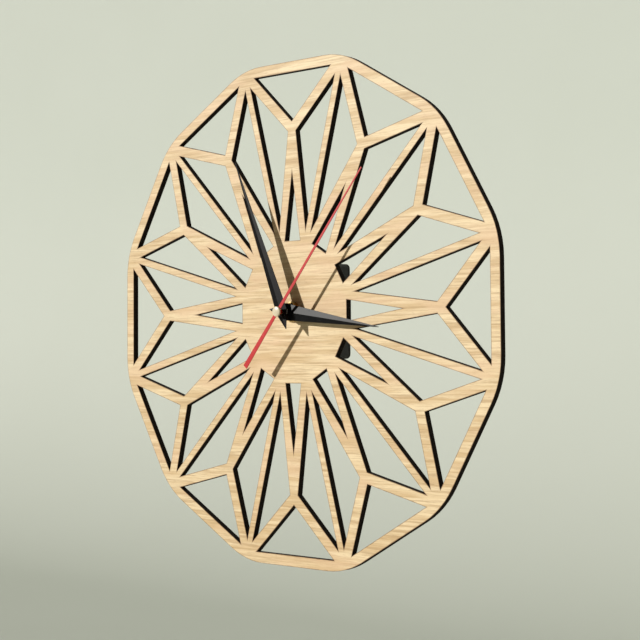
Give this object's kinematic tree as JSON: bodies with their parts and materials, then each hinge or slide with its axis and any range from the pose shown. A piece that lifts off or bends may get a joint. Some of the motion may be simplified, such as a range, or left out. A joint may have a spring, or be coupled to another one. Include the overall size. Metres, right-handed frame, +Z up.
{
  "type": "wall clock",
  "caption": "Round lattice wall clock cut from an oak-veneered board, with black hour and minute hands, a red second hand and a battery quartz movement behind.",
  "frame": {"origin": "where the hands' axis meets the wall, on the flat back of the movement's rear cover", "axes": "+Y into the wall, +Z up, +X to the right as seen from the front; the dial faces -Y"},
  "size_m": [0.3, 0.0347, 0.3],
  "materials": {
    "oak_board": "satin",
    "black_lacquer": "satin",
    "red_lacquer": "satin",
    "ivory_plastic": "gloss",
    "brass": "satin",
    "black_rubber": "matte",
    "black_plastic": "matte",
    "natural_plastic": "satin",
    "steel": "satin",
    "silicon_steel": "matte",
    "copper_wire": "gloss",
    "circuit_board": "satin",
    "ferrite": "matte",
    "cell_jacket": "satin"
  },
  "bodies": {
    "movement": {"dial": "oak_board", "movement_case": "black_plastic", "rear_cover": "black_plastic", "gear_bridge": "natural_plastic", "circuit_board": "circuit_board", "clock_chip": "black_plastic", "quartz_crystal": "steel", "coil_bobbin": "natural_plastic", "coil_winding": "copper_wire", "coil_core": "silicon_steel", "stator": "silicon_steel", "battery_contact_plus": "steel", "battery_contact_minus": "steel", "battery": "cell_jacket", "rubber_washer": "black_rubber", "brass_washer": "brass", "hex_nut": "brass"},
    "minute": {"minute_arbor": "brass", "minute_hand": "black_lacquer"},
    "hour": {"hour_wheel": "natural_plastic", "hour_hand": "black_lacquer"},
    "motion": {"motion_wheel": "natural_plastic"},
    "knob": {"setting_knob": "natural_plastic"},
    "second": {"second_wheel": "steel", "second_hand": "red_lacquer", "second_cap": "ivory_plastic"},
    "fifth": {"fifth_wheel": "natural_plastic"},
    "rotor": {"rotor": "ferrite"},
    "third": {"third_wheel": "natural_plastic"},
    "centre": {"centre_wheel": "natural_plastic"}
  },
  "joints": [
    {"name": "minute_turn", "type": "hinge", "parent": "movement", "child": "minute", "pos_m": [0, -0.01, 0], "axis": [0, 1, 0], "continuous": true},
    {"name": "hour_turn", "type": "hinge", "parent": "movement", "child": "hour", "pos_m": [0, -0.01, 0], "axis": [0, 1, 0], "continuous": true},
    {"name": "motion_turn", "type": "hinge", "parent": "movement", "child": "motion", "pos_m": [0.00624, -0.01, -0.0036], "axis": [0, 1, 0], "continuous": true},
    {"name": "knob_turn", "type": "hinge", "parent": "movement", "child": "knob", "pos_m": [0.01344, -0.01, -0.0036], "axis": [0, 1, 0], "continuous": true},
    {"name": "second_turn", "type": "hinge", "parent": "movement", "child": "second", "pos_m": [0, -0.01, 0], "axis": [0, 1, 0], "continuous": true},
    {"name": "fifth_turn", "type": "hinge", "parent": "movement", "child": "fifth", "pos_m": [0.00455, -0.01, 0.00788], "axis": [0, 1, 0], "continuous": true},
    {"name": "rotor_turn", "type": "hinge", "parent": "movement", "child": "rotor", "pos_m": [0.01055, -0.01, 0.00788], "axis": [0, 1, 0], "continuous": true},
    {"name": "third_turn", "type": "hinge", "parent": "movement", "child": "third", "pos_m": [-0.009, -0.01, 0], "axis": [0, 1, 0], "continuous": true},
    {"name": "centre_turn", "type": "hinge", "parent": "movement", "child": "centre", "pos_m": [0, -0.01, 0], "axis": [0, 1, 0], "continuous": true}
  ],
  "couplings": [
    {"joint": "hour_turn", "follows": "minute_turn", "ratio": 0.083333},
    {"joint": "motion_turn", "follows": "minute_turn", "ratio": -0.33333},
    {"joint": "knob_turn", "follows": "minute_turn", "ratio": 1},
    {"joint": "fifth_turn", "follows": "second_turn", "ratio": -6},
    {"joint": "rotor_turn", "follows": "second_turn", "ratio": 30},
    {"joint": "third_turn", "follows": "second_turn", "ratio": -0.13333},
    {"joint": "centre_turn", "follows": "second_turn", "ratio": 0.016667}
  ]
}
